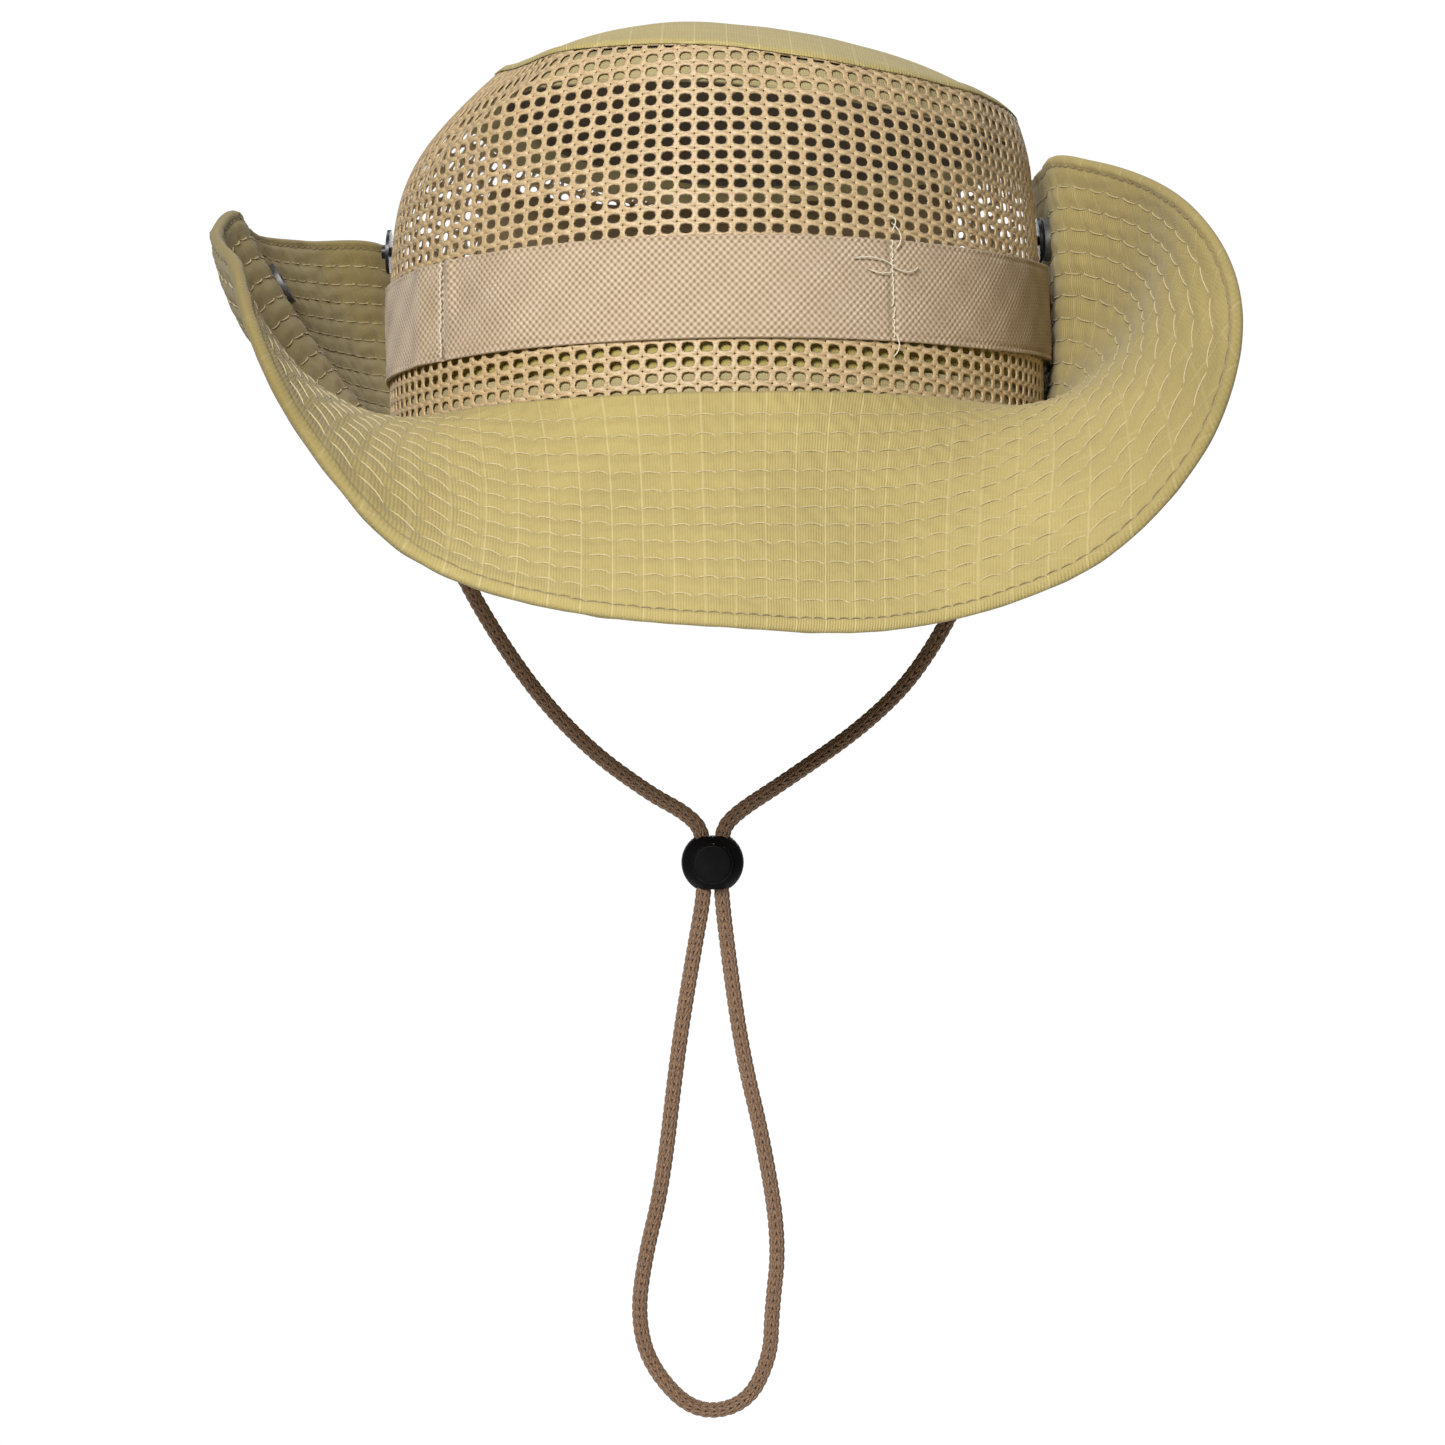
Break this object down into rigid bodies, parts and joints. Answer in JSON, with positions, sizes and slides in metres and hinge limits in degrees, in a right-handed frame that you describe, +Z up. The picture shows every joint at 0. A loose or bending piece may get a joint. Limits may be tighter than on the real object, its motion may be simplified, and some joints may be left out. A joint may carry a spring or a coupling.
{
  "type": "boonie hat",
  "caption": "Wide-brimmed bush hat with a mesh crown, webbing band, quilted brim whose sides snap up to the crown, and a chin cord with a sliding ball lock.",
  "frame": {"origin": "centre of the head opening, level with the seam of crown and brim", "axes": "+Z up to the crown's top, -Y to the front of the hat, +X to the side shown snapped up"},
  "size_m": [0.2586, 0.3102, 0.3834],
  "materials": {
    "ripstop": "matte ripstop weave",
    "interlining": "matte non-woven",
    "mesh": "open knitted polyester mesh",
    "webbing": "basket-weave webbing with a soft sheen",
    "thread": "pale sewing thread",
    "tape": "matte tape",
    "sweatband_cloth": "matte cotton",
    "snap_black": "black enamel",
    "snap_steel": "plain steel",
    "cord": "round knitted cord",
    "lock_plastic": "satin black plastic",
    "spring_steel": "spring wire"
  },
  "bodies": {
    "crown": {"back_lining": "mesh", "brim_front_interlining": "interlining", "brim_front_lower": "ripstop", "brim_front_upper": "ripstop", "brim_rear_interlining": "interlining", "brim_rear_lower": "ripstop", "brim_rear_upper": "ripstop", "brim_seam_binding": "tape", "chin_cord": "cord", "crown_mesh_wall": "mesh", "crown_top_panel": "ripstop", "hat_band": "webbing", "hat_band_tacks": "thread", "left_cord_anchor": "webbing", "left_crown_snap_post": "snap_steel", "left_crown_snap_stud": "snap_black", "right_cord_anchor": "webbing", "right_crown_snap_post": "snap_steel", "right_crown_snap_stud": "snap_black", "sweatband": "sweatband_cloth", "top_seam_tape": "tape"},
    "right_flap": {"right_flap_upper": "ripstop", "right_flap_interlining": "interlining", "right_flap_lower": "ripstop", "right_flap_snap_socket": "snap_steel", "right_flap_snap_cap": "snap_black"},
    "left_flap": {"left_flap_upper": "ripstop", "left_flap_interlining": "interlining", "left_flap_lower": "ripstop", "left_flap_snap_socket": "snap_steel", "left_flap_snap_cap": "snap_black"},
    "cord_lock": {"lock_barrel": "lock_plastic", "lock_spring": "spring_steel"},
    "lock_button": {"lock_plunger": "lock_plastic"}
  },
  "joints": [
    {"name": "right_flap_fold", "type": "hinge", "parent": "crown", "child": "right_flap", "pos_m": [0.0905, 0, 0], "axis": [0, 1, 0], "range_deg": [0, 112]},
    {"name": "left_flap_fold", "type": "hinge", "parent": "crown", "child": "left_flap", "pos_m": [-0.0905, 0, 0], "axis": [0, -1, 0], "range_deg": [-32, 80]},
    {"name": "lock_slide", "type": "slide", "parent": "crown", "child": "cord_lock", "axis": [0, 0, 1], "range_m": [-0.09, 0.06], "deforming": ["chin_cord"]},
    {"name": "button_press", "type": "slide", "parent": "cord_lock", "child": "lock_button", "axis": [0, 1, 0], "range_m": [0, 0.0025], "stiffness_N_per_m": 400, "springref_m": -0.002, "deforming": ["lock_spring"]}
  ]
}
